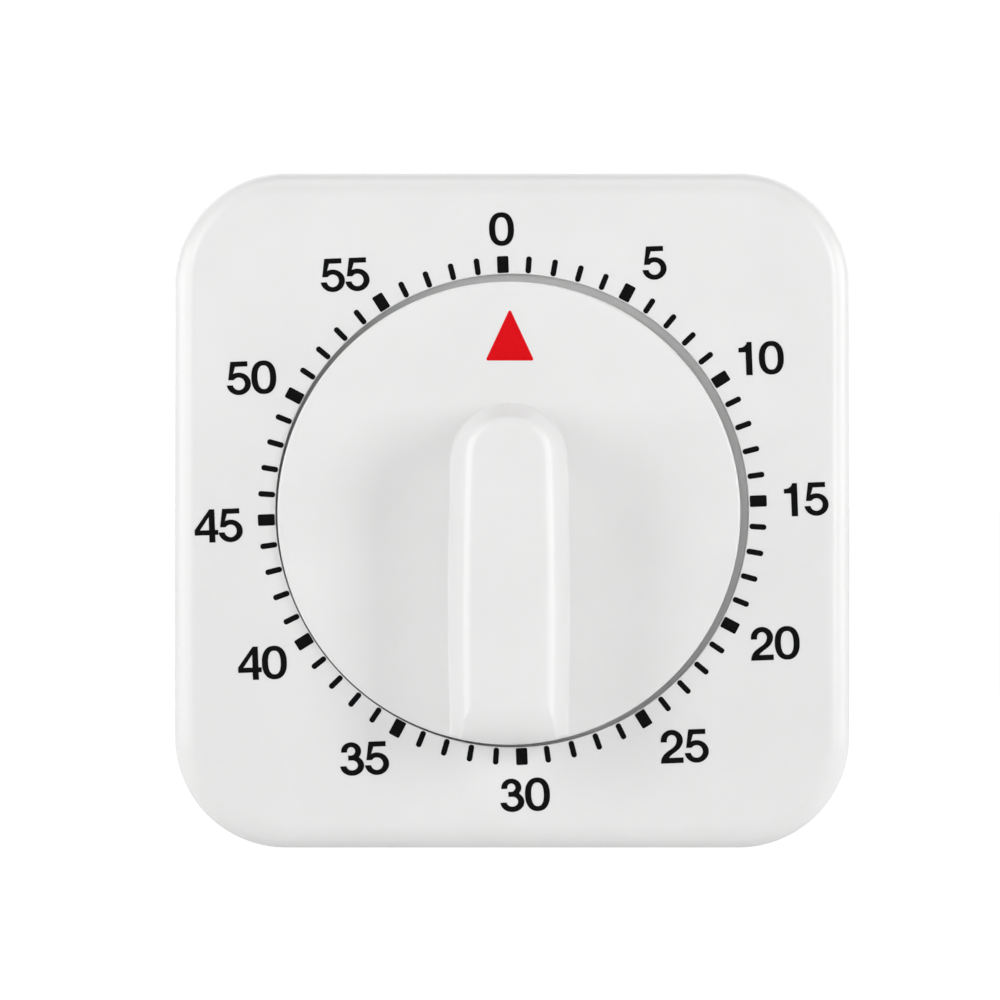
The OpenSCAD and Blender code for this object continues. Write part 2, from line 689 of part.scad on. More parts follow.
front_housing();
rear_cover();
case_screws();
knob();
red_pointer();
knob_clip();
front_plate();
back_plate();
pillars();
pillar_nuts();
movement_screws();
stop_pin();
main_arbor();
release_cam();
great_wheel();
ratchet_wheel();
click();
click_rivet();
click_spring();
mainspring();
bell_wheel();
spring_post();
second_arbor();
second_wheel();
third_arbor();
third_wheel();
escape_arbor();
escape_wheel();
balance_staff();
balance_arm();
balance_wheel();
pallet_pins();
star_arbor();
star_wheel();
hammer_arbor();
hammer_anchor();
hammer_arm();
hammer_head();
lock_arm();
release_lever();
lever_stud();
lever_spring();
bell();
bell_post();
bell_screw();
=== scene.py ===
# A mechanical kitchen timer: a square two-part housing with a printed 60 minute dial, a round
# knob with a grip bar and red pointer, and the metal movement inside.
# The dial stands upright and faces -Y, with +X to its right and +Z up. The shapes are drawn in
# mm in a housing frame: x right, y up, w towards the viewer, x = y = 0 at the housing's middle.
import bpy
import bmesh
import math
import numpy as np
from contextlib import contextmanager
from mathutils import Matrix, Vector
from mathutils.geometry import delaunay_2d_cdt

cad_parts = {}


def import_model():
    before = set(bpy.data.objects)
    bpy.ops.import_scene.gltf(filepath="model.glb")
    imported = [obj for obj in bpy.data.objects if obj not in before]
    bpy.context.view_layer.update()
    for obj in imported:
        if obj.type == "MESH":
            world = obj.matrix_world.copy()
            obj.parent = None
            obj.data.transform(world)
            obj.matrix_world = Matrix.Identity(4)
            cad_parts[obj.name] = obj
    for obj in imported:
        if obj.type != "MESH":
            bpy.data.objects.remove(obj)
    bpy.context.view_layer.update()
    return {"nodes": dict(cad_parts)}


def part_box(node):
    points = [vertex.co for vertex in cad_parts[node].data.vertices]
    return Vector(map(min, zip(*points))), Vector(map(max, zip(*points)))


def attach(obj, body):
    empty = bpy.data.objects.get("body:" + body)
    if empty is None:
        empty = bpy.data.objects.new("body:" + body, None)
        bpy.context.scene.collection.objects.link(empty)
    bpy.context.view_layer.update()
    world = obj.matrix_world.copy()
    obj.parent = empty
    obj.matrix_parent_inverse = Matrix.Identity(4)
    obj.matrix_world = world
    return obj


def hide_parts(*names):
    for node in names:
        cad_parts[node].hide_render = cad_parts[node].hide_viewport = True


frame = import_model()
NODES = frame["nodes"]
MM = 0.001


# ------------------------------------------------------------------ main dimensions (mm)
def box_mm(name):
    low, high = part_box(name)
    return np.array(low) * 1000, np.array(high) * 1000


housing_lo, housing_hi = box_mm("front_housing")
rear_lo, rear_hi = box_mm("rear_cover")
knob_lo, knob_hi = box_mm("knob")
pointer_lo, pointer_hi = box_mm("red_pointer")

# housing
HALF = (housing_hi[0] - housing_lo[0]) / 2      # half its width
MID_X = (housing_hi[0] + housing_lo[0]) / 2
MID_Z = (housing_hi[2] + housing_lo[2]) / 2
FACE = -housing_lo[1]                   # w of the front face
SPLIT = -housing_hi[1]                  # w of the joint between the shells
BACK = -rear_hi[1]                      # w of the back face
CORNER_R, FRONT_R, BACK_R = 11.5, 2.5, 1.5      # roundings: outline, front edge, back edge
WALL = 2.0
CORNER_STEPS, SIDE_STEPS = 32, 64       # steps in each corner and along each side
WELL_R = 24.54                          # round well that the knob sits in
WELL_FLOOR = FACE - 1.8
WELL_WALL = 1.6
LIP_R = 0.12                            # rounding of the well's lip
SHAFT_HOLE_R = 4.7

# knob
KNOB_R = (knob_hi[0] - knob_lo[0]) / 2
KNOB_X = (knob_hi[0] + knob_lo[0]) / 2 - MID_X
KNOB_Y = (knob_hi[2] + knob_lo[2]) / 2 - MID_Z
KNOB_TOP = -knob_lo[1]                  # w of the grip's front
HUB_END = -knob_hi[1]                   # w of the hub's back end
RIM = KNOB_TOP - 11.0                   # w of the disc's rim

SCREW_AT = 27.0 / 35.0 * HALF
CORNERS = [(sx * SCREW_AT, sy * SCREW_AT) for sx in (-1, 1) for sy in (-1, 1)]
MOVEMENT_POSTS = [(KNOB_X - 27, KNOB_Y - 2), (KNOB_X + 14.5, KNOB_Y - 25),
                  (KNOB_X + 3, KNOB_Y + 27.2)]


# ------------------------------------------------------------------ mesh helpers
def world(points):
    """Housing frame in mm to metres in the scene."""
    p = np.asarray(points, float)
    return np.stack([p[..., 0] + MID_X, -p[..., 2], p[..., 1] + MID_Z], -1) * MM


def make(name, verts, faces, normals=None):
    mesh = bpy.data.meshes.new(name)
    mesh.from_pydata(world(verts).tolist(), [], [list(map(int, f)) for f in faces])
    mesh.validate()
    mesh.update()
    mesh.shade_smooth()
    if normals is not None:
        turned_normals = np.stack([normals[:, 0], -normals[:, 2], normals[:, 1]], -1)
        mesh.normals_split_custom_set_from_vertices(turned_normals.tolist())
    ob = bpy.data.objects.new(name, mesh)
    bpy.context.scene.collection.objects.link(ob)
    return ob


@contextmanager
def editing(mesh):
    bm = bmesh.new()
    bm.from_mesh(mesh)
    yield bm
    bm.to_mesh(mesh)
    bm.free()


def outward(ob):
    """Reverses all faces if the enclosed volume comes out negative."""
    with editing(ob.data) as bm:
        if bm.calc_volume(signed=True) < 0:
            bmesh.ops.reverse_faces(bm, faces=bm.faces)
    return ob


def boolean(ob, tool, operation):
    """Joins or cuts with the tool, which is used up, and welds the slivers this leaves."""
    modifier = ob.modifiers.new("cut", "BOOLEAN")
    modifier.operation = operation
    modifier.solver = "EXACT"
    modifier.object = tool
    bpy.context.view_layer.update()
    graph = bpy.context.evaluated_depsgraph_get()
    mesh = bpy.data.meshes.new_from_object(ob.evaluated_get(graph))
    ob.modifiers.clear()
    old = ob.data
    ob.data = mesh
    mesh.name = ob.name
    bpy.data.meshes.remove(old)
    bpy.data.objects.remove(tool, do_unlink=True)
    with editing(ob.data) as bm:
        bmesh.ops.remove_doubles(bm, verts=bm.verts, dist=5e-7)
        bmesh.ops.dissolve_degenerate(bm, edges=bm.edges, dist=1e-8)


def smooth_edges(ob, angle=32):
    """Smooth shading, sharp where faces meet at more than the angle, weighted by face area."""
    limit = math.radians(angle)
    with editing(ob.data) as bm:
        for edge in bm.edges:
            edge.smooth = len(edge.link_faces) == 2 and edge.calc_face_angle(0) < limit
        for face in bm.faces:
            face.smooth = True
    modifier = ob.modifiers.new("even_shading", "WEIGHTED_NORMAL")
    modifier.mode = "FACE_AREA"
    modifier.keep_sharp = True
    modifier.weight = 50
    return ob


def unit(angle):
    return np.array([math.cos(angle), math.sin(angle)])


def ring(x, y, radius, steps=64):
    angles = [2 * math.pi * i / steps for i in range(steps)]
    return [(x + radius * math.cos(a), y + radius * math.sin(a)) for a in angles]


def strips(loops, size, start=0, closed=False):
    """Quads between successive loops of size points, the first point being number start."""
    i = np.arange(size)
    j = (i + 1) % size
    faces = []
    for k in range(loops if closed else loops - 1):
        a, b = start + k * size, start + (k + 1) % loops * size
        faces += np.stack([a + i, a + j, b + j, b + i], -1).tolist()
    return faces


def loft(name, rows, caps=None):
    """Skin over loops of points. It closes on itself, or ends in fans about two cap points."""
    size = len(rows[0])
    verts = np.concatenate(rows)
    faces = strips(len(rows), size, closed=caps is None)
    if caps is not None:
        i = np.arange(size)
        for k, base in enumerate((0, len(verts) - size)):
            centre = np.full(size, len(verts) + k)
            faces += np.stack([base + i, base + (i + 1) % size, centre], -1).tolist()
        verts = np.concatenate([verts, np.array(caps, float)])
    return outward(make(name, verts, faces))


def turned(name, x, y, profile, steps):
    """Closed turned solid: the profile of (radius, w) runs from the axis out and back to it."""
    verts, loops, faces = [], [], []
    for radius, w in profile:
        if radius < 1e-6:
            loops.append([len(verts)] * steps)
            verts.append((x, y, w))
        else:
            loops.append(list(range(len(verts), len(verts) + steps)))
            verts += [(px, py, w) for px, py in ring(x, y, radius, steps)]
    for a, b in zip(loops, loops[1:]):
        for i in range(steps):
            j = (i + 1) % steps
            corners = list(dict.fromkeys([a[i], a[j], b[j], b[i]]))
            if len(corners) > 2:
                faces.append(corners)
    return make(name, np.array(verts), faces)


# ------------------------------------------------------------------ housing loops
def outline(inset):
    """Points of the rounded square, inset from the housing's outer outline."""
    radius = CORNER_R - inset
    straight = (HALF - inset) - radius
    signs = np.array([(1, 1), (-1, 1), (-1, -1), (1, -1)])
    points = []
    for q in range(4):
        centre, following = signs[q] * straight, signs[(q + 1) % 4] * straight
        for i in range(CORNER_STEPS):
            points.append(centre + radius * unit(math.radians(90 * q + 90 * i / CORNER_STEPS)))
        reach = radius * unit(math.radians(90 * (q + 1)))
        start, end = centre + reach, following + reach
        points += [start + (end - start) * i / SIDE_STEPS for i in range(SIDE_STEPS)]
    return np.array(points)


outer = outline(0)
LOOP_ANGLES = np.arctan2(outer[:, 1], outer[:, 0])


def square(inset, w):
    points = outline(inset)
    return np.column_stack([points, np.full(len(points), w)])


def circle(radius, w, centre=(0, 0)):
    """Circle whose points match those of the outline, so that the two can be lofted."""
    return np.column_stack([centre[0] + radius * np.cos(LOOP_ANGLES),
                            centre[1] + radius * np.sin(LOOP_ANGLES),
                            np.full(len(LOOP_ANGLES), w)])


def squares(*stations):
    return [square(inset, w) for inset, w in stations]


def circles(*stations, centre=(0, 0)):
    return [circle(radius, w, centre) for radius, w in stations]


def rounding(loop, size, w, radius, start, end, steps, **place):
    """Loops along an arc about (size, w), size being an inset or a radius, angles in degrees."""
    angles = [math.radians(start + (end - start) * s / steps) for s in range(steps + 1)]
    return [loop(size + radius * math.cos(a), w + radius * math.sin(a), **place) for a in angles]


def joint_edge(side):
    """Eased outer edge at the joint: side is 1 for the front shell, -1 for the rear one."""
    return squares((0.28, SPLIT), (0.2, SPLIT + side * 0.02), (0.02, SPLIT + side * 0.22),
                   (0, SPLIT + side * 0.3), (0, SPLIT + side * 0.5))


# ------------------------------------------------------------------ front shell
def post(radius, bevel, back):
    """Profile of a post that runs from back into the front wall."""
    front = FACE - WALL + 0.3
    return [(0, back), (radius - bevel, back), (radius, back + bevel), (radius, front), (0, front)]


def drill(radius, back, front):
    return [(0, back), (radius, back), (radius, front), (0, front)]


def build_front():
    shaft = (KNOB_X, KNOB_Y)
    # outer side, from the joint to the front face
    rows = joint_edge(1)
    rows += squares((0, SPLIT + 5), (0, SPLIT + 10), (0, FACE - FRONT_R - 0.25))
    rows += rounding(square, FRONT_R, FACE - FRONT_R, FRONT_R, 180, 90, 22)
    rows += squares((FRONT_R + 0.15, FACE), (FRONT_R + 1.2, FACE))
    # front face and well
    rows += circles((WELL_R + 3.2, FACE), (WELL_R + 1.2, FACE), (WELL_R + LIP_R + 0.08, FACE))
    rows += rounding(circle, WELL_R + LIP_R, FACE - LIP_R, LIP_R, 90, 180, 6)
    rows += circles((WELL_R, FACE - 0.5), (WELL_R, WELL_FLOOR + 0.25))
    rows += rounding(circle, WELL_R - 0.15, WELL_FLOOR + 0.15, 0.15, 0, -90, 4)
    rows += circles((WELL_R - 0.4, WELL_FLOOR), (18, WELL_FLOOR), (11, WELL_FLOOR))
    # hole for the hub
    rows += circles((SHAFT_HOLE_R + 0.6, WELL_FLOOR), centre=shaft)
    rows += rounding(circle, SHAFT_HOLE_R + 0.2, WELL_FLOOR - 0.2, 0.2, 90, 180, 4, centre=shaft)
    rows += circles((SHAFT_HOLE_R, WELL_FLOOR - 1.4),
                    (SHAFT_HOLE_R + 0.1, WELL_FLOOR - WELL_WALL), centre=shaft)
    # inside of the well and of the shell, back to the joint
    rows += circles((12, WELL_FLOOR - WELL_WALL), (WELL_R + 1.4, WELL_FLOOR - WELL_WALL),
                    (WELL_R + WELL_WALL, WELL_FLOOR - 1.4), (WELL_R + WELL_WALL, FACE - WALL))
    rows += squares((WALL + 0.4, FACE - WALL), (WALL, FACE - WALL - 0.4), (WALL, 2),
                    (WALL, SPLIT + 0.3), (WALL - 0.2, SPLIT))
    ob = loft("housing_front", rows)

    # places, profile, tool, steps round, operation
    tools = [
        (CORNERS, post(3, 0.2, SPLIT), "tool_boss", 56, "UNION"),
        (MOVEMENT_POSTS, post(2.3, 0.15, 6.4), "tool_boss", 56, "UNION"),
        (CORNERS, drill(1.25, SPLIT - 1, 5), "tool_hole", 40, "DIFFERENCE"),
        (MOVEMENT_POSTS, drill(0.85, 5, 9.4), "tool_hole", 40, "DIFFERENCE"),
    ]
    for places, profile, tool, steps, operation in tools:
        for x, y in places:
            boolean(ob, turned(tool, x, y, profile, steps), operation)
    return smooth_edges(ob)


# ------------------------------------------------------------------ rear shell
INNER_BACK = BACK + 1.8                 # w of the rear shell's inner face

# sleeve at each corner screw, from the back face through to the inner face: radius, w
SLEEVE = [
    (2.85, BACK), (2.74, BACK + 0.03), (2.65, BACK + 0.11), (2.6, BACK + 0.25), (2.6, BACK + 3),
    (1.5, BACK + 3), (1.5, SPLIT - 0.1),
    (3.4, SPLIT - 0.1), (3.54, SPLIT - 0.16), (3.6, SPLIT - 0.3), (3.6, INNER_BACK),
]


def sheet(border, radius, w):
    """Flat region at w inside the border and outside the four corner circles."""
    loops = [[tuple(p[:2]) for p in border]] + [ring(x, y, radius) for x, y in CORNERS]
    points, edges = [], []
    for loop in loops:
        k = len(points)
        points += loop
        edges += [(k + i, k + (i + 1) % len(loop)) for i in range(len(loop))]
    verts, _, tris = delaunay_2d_cdt([Vector(p) for p in points], edges, [], 1, 1e-6)[:3]
    keep = []
    for tri in tris:
        mid_x = sum(verts[i][0] for i in tri) / len(tri)
        mid_y = sum(verts[i][1] for i in tri) / len(tri)
        if all(math.hypot(mid_x - x, mid_y - y) > radius * 0.998 for x, y in CORNERS):
            keep.append(list(tri))
    # take back the exact places of the loops, so that the edges weld to their neighbours
    placed = []
    for i, v in enumerate(verts):
        known = i < len(points) and abs(v[0] - points[i][0]) + abs(v[1] - points[i][1]) < 1e-4
        placed.append((*(points[i] if known else tuple(v)), w))
    return placed, keep


def build_rear():
    outside = joint_edge(-1)
    outside += squares((0, SPLIT - 3), (0, BACK + BACK_R + 0.2))
    outside += rounding(square, BACK_R, BACK + BACK_R, BACK_R, 180, 270, 16)
    outside += squares((BACK_R + 0.15, BACK))
    # inner wall, then the tongue that stands into the front shell
    inside = squares(
        (WALL + 0.3, INNER_BACK), (WALL, BACK + 2.1), (WALL, SPLIT - 1.7),
        (WALL + 0.9, SPLIT - 1.5), (WALL + 1, SPLIT - 1.4),
        (WALL + 1, SPLIT + 1.5), (WALL + 0.9, SPLIT + 1.6), (WALL + 0.2, SPLIT + 1.6),
        (WALL + 0.1, SPLIT + 1.5), (WALL + 0.1, SPLIT))
    rows = outside[::-1] + inside[::-1]
    verts = [tuple(p) for loop in rows for p in loop]
    faces = strips(len(rows), len(rows[0]))
    for x, y in CORNERS:
        faces += strips(len(SLEEVE), 64, start=len(verts))
        for radius, w in SLEEVE:
            verts += [(px, py, w) for px, py in ring(x, y, radius)]
    for border, (radius, w) in ((outside[-1], SLEEVE[0]), (inside[0], SLEEVE[-1])):
        flat_verts, flat_faces = sheet(border, radius, w)
        k = len(verts)
        verts += flat_verts
        faces += [[k + i for i in tri] for tri in flat_faces]
    ob = make("housing_rear", np.array(verts), faces)
    with editing(ob.data) as bm:
        bmesh.ops.remove_doubles(bm, verts=bm.verts, dist=2e-7)
        bmesh.ops.recalc_face_normals(bm, faces=bm.faces)
    return smooth_edges(outward(ob))


# ------------------------------------------------------------------ knob, as a distance field
RIM_R = 0.22                            # rounding of the disc's rim
DISC_BACK = WELL_FLOOR + 0.5
DISH_DEPTH, DISH_RUN = 0.55, 14.0       # fall of the disc towards its middle, and over what radius
HUB_R = 4.2
BORE_R, BORE_FLAT, BORE_END = 1.85, 1.25, 18    # D-shaped bore: radius, x of the flat, end w

GRIP_HALF, GRIP_DRAFT = 6.2, 1.6        # half width, and how much each side leans in
GRIP_END, END_DRAFT = 11.4, 1.45        # y of the upper end, and how much it leans in
GRIP_LOW = KNOB_R - 0.12                # radius of the lower end about the knob's axis
EDGE_R, LOW_R = 0.75, 3.8               # rounding of the front edges and of the lower end
CROWN = 0.75                            # fall of the grip's front at CROWN_AT from its middle
CROWN_AT = 4.6
ARCH_FOOT, ARCH_FRONT = 6.2, 3.9        # height of the upper arch at its foot and front edge
ARCH_POWER = 2.15                       # 2 would make the arch an ellipse
BARREL_Y = -11.0                        # where the grip is widest
# narrowing of each side: by how much, at what distance from BARREL_Y
BARREL_UP, BARREL_DOWN = (0.30, 17.4), (0.12, 12.0)
CAVITY_HALF = (GRIP_LOW - 10.5) / 2     # half length of the cavity in y


def meet(a, b, r):
    """Rounded intersection."""
    return np.minimum(-r, np.maximum(a, b)) + np.hypot(np.maximum(r + a, 0), np.maximum(r + b, 0))


def cut(a, b, r):
    """Rounded difference."""
    return meet(a, -b, r)


def join(a, b, r):
    """Rounded union."""
    return np.maximum(r, np.minimum(a, b)) - np.hypot(np.maximum(r - a, 0), np.maximum(r - b, 0))


def dish(rho):
    """w of the disc's front: level at the rim, easing down towards the middle."""
    t = np.clip((KNOB_R - 1.5 - rho) / DISH_RUN, 0, 1)
    return RIM - DISH_DEPTH / 2 * (1 - np.cos(t * math.pi))


def grip(x, y, w):
    # plan: slightly barrelled, an arch at the upper end, sides and end leaning in to the front
    along = y - BARREL_Y
    lean = np.clip((w - RIM + 1.0) / (KNOB_TOP - RIM + 1.0), -0.2, 1.1)
    barrel = np.where(along > 0, BARREL_UP[0] * (along / BARREL_UP[1]) ** 2,
                      BARREL_DOWN[0] * (along / BARREL_DOWN[1]) ** 2)
    half = GRIP_HALF - barrel - GRIP_DRAFT * lean
    end = GRIP_END - END_DRAFT * lean
    rise = ARCH_FOOT + (ARCH_FRONT - ARCH_FOOT) * lean
    u, v = np.abs(x) / half, np.maximum(y - (end - rise), 0) / rise
    n = ARCH_POWER
    q = np.maximum((u ** n + v ** n) ** (1 / n), 1e-6)
    slope = np.hypot((u / q) ** (n - 1) / half, (v / q) ** (n - 1) / rise)
    plan = (q - 1) / np.maximum(slope, 1e-3)
    top = w + CROWN * (x / CROWN_AT) ** 2 - KNOB_TOP
    low = np.where(y < 0, np.hypot(x, y) - GRIP_LOW, -9.0)
    body = np.maximum(meet(top, plan, EDGE_R), meet(top, low, LOW_R))
    body = np.maximum(body, meet(plan, low, 0.25))
    return np.maximum(body, (RIM - 1.5) - w)


def knob_field(x, y, w):
    """Distance to the knob's surface, negative inside, with the axis at x = y = 0."""
    rho = np.hypot(x, y)
    disc = meet(rho - KNOB_R, w - dish(rho), RIM_R)
    disc = meet(disc, DISC_BACK - w, 0.15)
    body = join(disc, grip(x, y, w), 0.25)
    body = np.maximum(body, rho - KNOB_R)
    body = np.maximum(body, DISC_BACK - w)
    hub = meet(rho - HUB_R, HUB_END - w, 0.2)
    hub = np.maximum(hub, w - (DISC_BACK + 0.5))
    body = join(body, hub, 0.15)
    bore = np.maximum(np.maximum(rho - BORE_R, x - BORE_FLAT), w - BORE_END)
    body = cut(body, bore, 0.1)
    # cavity in the lower part of the grip, open at the back
    cavity = np.maximum(np.abs(x) - (GRIP_HALF - 3.0),
                        np.abs(y + GRIP_LOW - 4.5 - CAVITY_HALF) - CAVITY_HALF)
    cavity = np.maximum(meet(cavity, w - (KNOB_TOP - 2.4), 0.6), (HUB_END - 1) - w)
    return cut(body, cavity, 0.15)


# corner c of a cell lies at the bits of c; its edges join corners that differ in one bit
CELL_CORNERS = np.array([[c & 1, (c >> 1) & 1, (c >> 2) & 1] for c in range(8)])
CELL_EDGES = [(c, c | bit) for bit in (1, 2, 4) for c in range(8) if not c & bit]


def surface_nets(field, low, high, step):
    """Quads over the zero level of a field: one point for each cell it crosses, and normals."""
    axes = [np.arange(a, b + step, step) for a, b in zip(low, high)]
    values = np.empty([len(a) for a in axes], np.float32)
    for k in range(0, len(axes[0]), 16):
        grid = np.meshgrid(axes[0][k:k + 16], axes[1], axes[2], indexing="ij")
        values[k:k + 16] = field(*grid)
    inside = values < 0
    shape = inside.shape
    views = [tuple(slice(d, n - 1 + d) for d, n in zip(c, shape)) for c in CELL_CORNERS]
    total = sum(inside[view].astype(np.int8) for view in views)
    active = (total > 0) & (total < 8)
    cells = np.argwhere(active)
    ids = np.full(active.shape, -1, np.int64)
    ids[active] = np.arange(len(cells))

    # a cell's point is the mean of the crossings on its edges
    corner_values = np.stack([values[view][active] for view in views], -1).astype(float)
    crossings, count = np.zeros((len(cells), 3)), np.zeros(len(cells))
    for a, b in CELL_EDGES:
        value_a, value_b = corner_values[:, a], corner_values[:, b]
        crossed = (value_a < 0) != (value_b < 0)
        t = np.where(crossed, value_a / np.where(crossed, value_a - value_b, 1), 0)
        place = CELL_CORNERS[a] + (CELL_CORNERS[b] - CELL_CORNERS[a]) * t[:, None]
        crossings += place * crossed[:, None]
        count += crossed
    points = (cells + crossings / count[:, None]) * step + np.array([a[0] for a in axes])

    # each grid edge that changes sign gives a quad between the four cells round it
    faces = []
    for axis in range(3):
        near = [slice(1, n - 1) for n in shape]
        far = list(near)
        near[axis], far[axis] = slice(0, -1), slice(1, None)
        a, b = inside[tuple(near)], inside[tuple(far)]
        changes = np.argwhere(a != b)
        leaving = a[tuple(changes.T)]
        base = changes + 1
        base[:, axis] -= 1
        quads = []
        for d1, d2 in ((1, 1), (0, 1), (0, 0), (1, 0)):
            cell = base.copy()
            cell[:, (axis + 1) % 3] -= d1
            cell[:, (axis + 2) % 3] -= d2
            quads.append(ids[tuple(cell.T)])
        quads = np.stack(quads, -1)
        quads[~leaving] = quads[~leaving][:, ::-1]
        faces.append(quads)

    def gradient(p, h):
        g = np.empty_like(p)
        for k in range(3):
            d = np.zeros(3)
            d[k] = h
            g[:, k] = (field(*(p + d).T) - field(*(p - d).T)) / (2 * h)
        return g

    # pull the points onto the surface, none further than 0.7 of a step
    first = points.copy()
    for _ in range(6):
        g = gradient(points, 0.004)
        squared = np.maximum((g ** 2).sum(-1), 0.05)
        points = points - (field(*points.T) / squared)[:, None] * g * 0.9
        points = first + np.clip(points - first, -0.7 * step, 0.7 * step)
    g = gradient(points, 0.012)
    normals = g / np.maximum(np.linalg.norm(g, axis=1), 1e-9)[:, None]
    return points, np.concatenate(faces), normals


def build_knob():
    step = 0.22
    points, faces, normals = surface_nets(
        knob_field, low=(-KNOB_R - 0.61, -KNOB_R - 0.61, HUB_END - 0.53),
        high=(KNOB_R + 0.6, KNOB_R + 0.6, KNOB_TOP + 0.5), step=step)
    return make("knob_body", points + np.array([KNOB_X, KNOB_Y, 0]), faces, normals)


# ------------------------------------------------------------------ pointer
POINTER_CORNER_R = 0.16
POINTER_TOP, POINTER_BOTTOM = 0.03, -0.06       # lift of its faces over the disc
# softened edge: inset from the outline, lift over the disc
POINTER_EDGE = [(0, POINTER_BOTTOM), (0, 0.0), (0.012, 0.018), (0.035, 0.028),
                (0.08, POINTER_TOP)]


def on_dish(points, lift):
    """Points about the knob's axis, laid on the disc with a lift."""
    w = dish(np.hypot(points[:, 0], points[:, 1])) + lift
    return np.column_stack([points, w]) + np.array([KNOB_X, KNOB_Y, 0])


def round_corners(corners, radius):
    points = []
    for i in range(3):
        a, b, c = corners[i - 1], corners[i], corners[(i + 1) % 3]
        u = (a - b) / np.linalg.norm(a - b)
        v = (c - b) / np.linalg.norm(c - b)
        angle = math.acos(np.clip(u @ v, -1, 1))
        tangent = radius / math.tan(angle / 2)
        bisector = (u + v) / np.linalg.norm(u + v)
        centre = b + bisector * radius / math.sin(angle / 2)
        start, end = b + u * tangent - centre, b + v * tangent - centre
        first = math.atan2(start[1], start[0])
        sweep = (math.atan2(end[1], end[0]) - first + math.pi) % (2 * math.pi) - math.pi
        points += [centre + radius * unit(first + sweep * k / 8) for k in range(9)]
    return points


def build_pointer():
    """Red triangle on the disc: a thin closed plate that follows the dished surface."""
    x = ((pointer_hi[0] + pointer_lo[0]) / 2 - MID_X) - KNOB_X
    bottom, top = pointer_lo[2] - MID_Z - KNOB_Y, pointer_hi[2] - MID_Z - KNOB_Y
    half = (pointer_hi[0] - pointer_lo[0]) / 2
    triangle = np.array([[x - half, bottom], [x + half, bottom], [x, top]])
    middle = triangle.mean(0)
    corners = round_corners(triangle, POINTER_CORNER_R)
    border = []
    for i, p in enumerate(corners):
        q = corners[(i + 1) % len(corners)]
        n = max(1, int(np.linalg.norm(q - p) / 0.2))
        border += [p + (q - p) * k / n for k in range(n)]
    border = np.array(border)
    along = np.roll(border, -1, 0) - np.roll(border, 1, 0)
    along /= np.linalg.norm(along, axis=1)[:, None]
    normal = np.stack([along[:, 1], -along[:, 0]], -1)
    if ((border - middle) * normal).sum() < 0:
        normal = -normal
    rows = [on_dish(border - normal * inset, lift) for inset, lift in POINTER_EDGE]
    face = border - normal * POINTER_EDGE[-1][0]
    rows += [on_dish(middle + (face - middle) * s, POINTER_TOP)
             for s in np.linspace(0.86, 0.06, 15)]
    under = [on_dish(middle + (border - middle) * s, POINTER_BOTTOM)
             for s in np.linspace(0.94, 0.06, 14)]
    caps = [on_dish(middle[None], lift)[0] for lift in (POINTER_TOP, POINTER_BOTTOM)]
    return smooth_edges(loft("pointer_inlay", rows[::-1] + under, caps), 50)


# ------------------------------------------------------------------ printed dial
PRINT_SHIFT, PRINT_TURN = (0.015, 0.0), math.radians(2.2)   # the print sits a little turned
INK, INK_SUNK = 0.025, 0.04             # height over the face, and depth below it
TICK_IN, TICK_LEN = 24.64, 1.76         # inner radius and length of the minute marks
THIN, THICK = (0.58, 0.27), (1.19, 0.16)        # width and corner radius; every fifth is thick


def print_place(points):
    c, s = math.cos(PRINT_TURN), math.sin(PRINT_TURN)
    x, y = points[..., 0], points[..., 1]
    return np.stack([PRINT_SHIFT[0] + x * c - y * s, PRINT_SHIFT[1] + x * s + y * c], -1)


def rounded_bar(width, length, radius, steps=6):
    points = []
    for q, (sx, sy) in enumerate(((1, 1), (-1, 1), (-1, -1), (1, -1))):
        centre = np.array([sx * (width / 2 - radius), sy * (length / 2 - radius)])
        points += [centre + radius * unit(math.radians(90 * q + 90 * i / steps))
                   for i in range(steps + 1)]
    return np.array(points)


def build_ticks():
    verts, faces = [], []
    for minute in range(60):
        width, radius = THICK if minute % 5 == 0 else THIN
        bar = rounded_bar(width, TICK_LEN, radius)
        out = unit(math.radians(90 - 6 * minute))
        across = np.array([out[1], -out[0]])
        edge = print_place(bar[:, :1] * across + (bar[:, 1:] + TICK_IN + TICK_LEN / 2) * out)
        inner = edge.mean(0) + (edge - edge.mean(0)) * 0.975
        n, base = len(edge), len(verts)
        for points, w in ((edge, FACE - INK_SUNK), (edge, FACE + INK * 0.6), (inner, FACE + INK)):
            verts += np.column_stack([points, np.full(n, w)]).tolist()
        faces += strips(3, n, start=base)
        i = np.arange(n)
        faces += [(base + 2 * n + i).tolist(), (base + i[::-1]).tolist()]
    return smooth_edges(outward(make("dial_ticks", np.array(verts), faces)), 40)


def ell(cx, cy, a, b, start, end, n, power=2.0):
    """Arc of an ellipse, or of a squarer oval where the power is over 2; angles in degrees."""
    t = np.radians(np.linspace(start, end, n))
    c, s = np.cos(t), np.sin(t)
    return list(zip(cx + a * np.sign(c) * np.abs(c) ** (2 / power),
                    cy + b * np.sign(s) * np.abs(s) ** (2 / power)))


def bez(p0, p1, p2, p3, n=14):
    t = np.linspace(0, 1, n)[:, None]
    p0, p1, p2, p3 = map(np.array, (p0, p1, p2, p3))
    curve = (1 - t) ** 3 * p0 + 3 * (1 - t) ** 2 * t * p1 + 3 * (1 - t) * t ** 2 * p2 + t ** 3 * p3
    return [tuple(p) for p in curve]


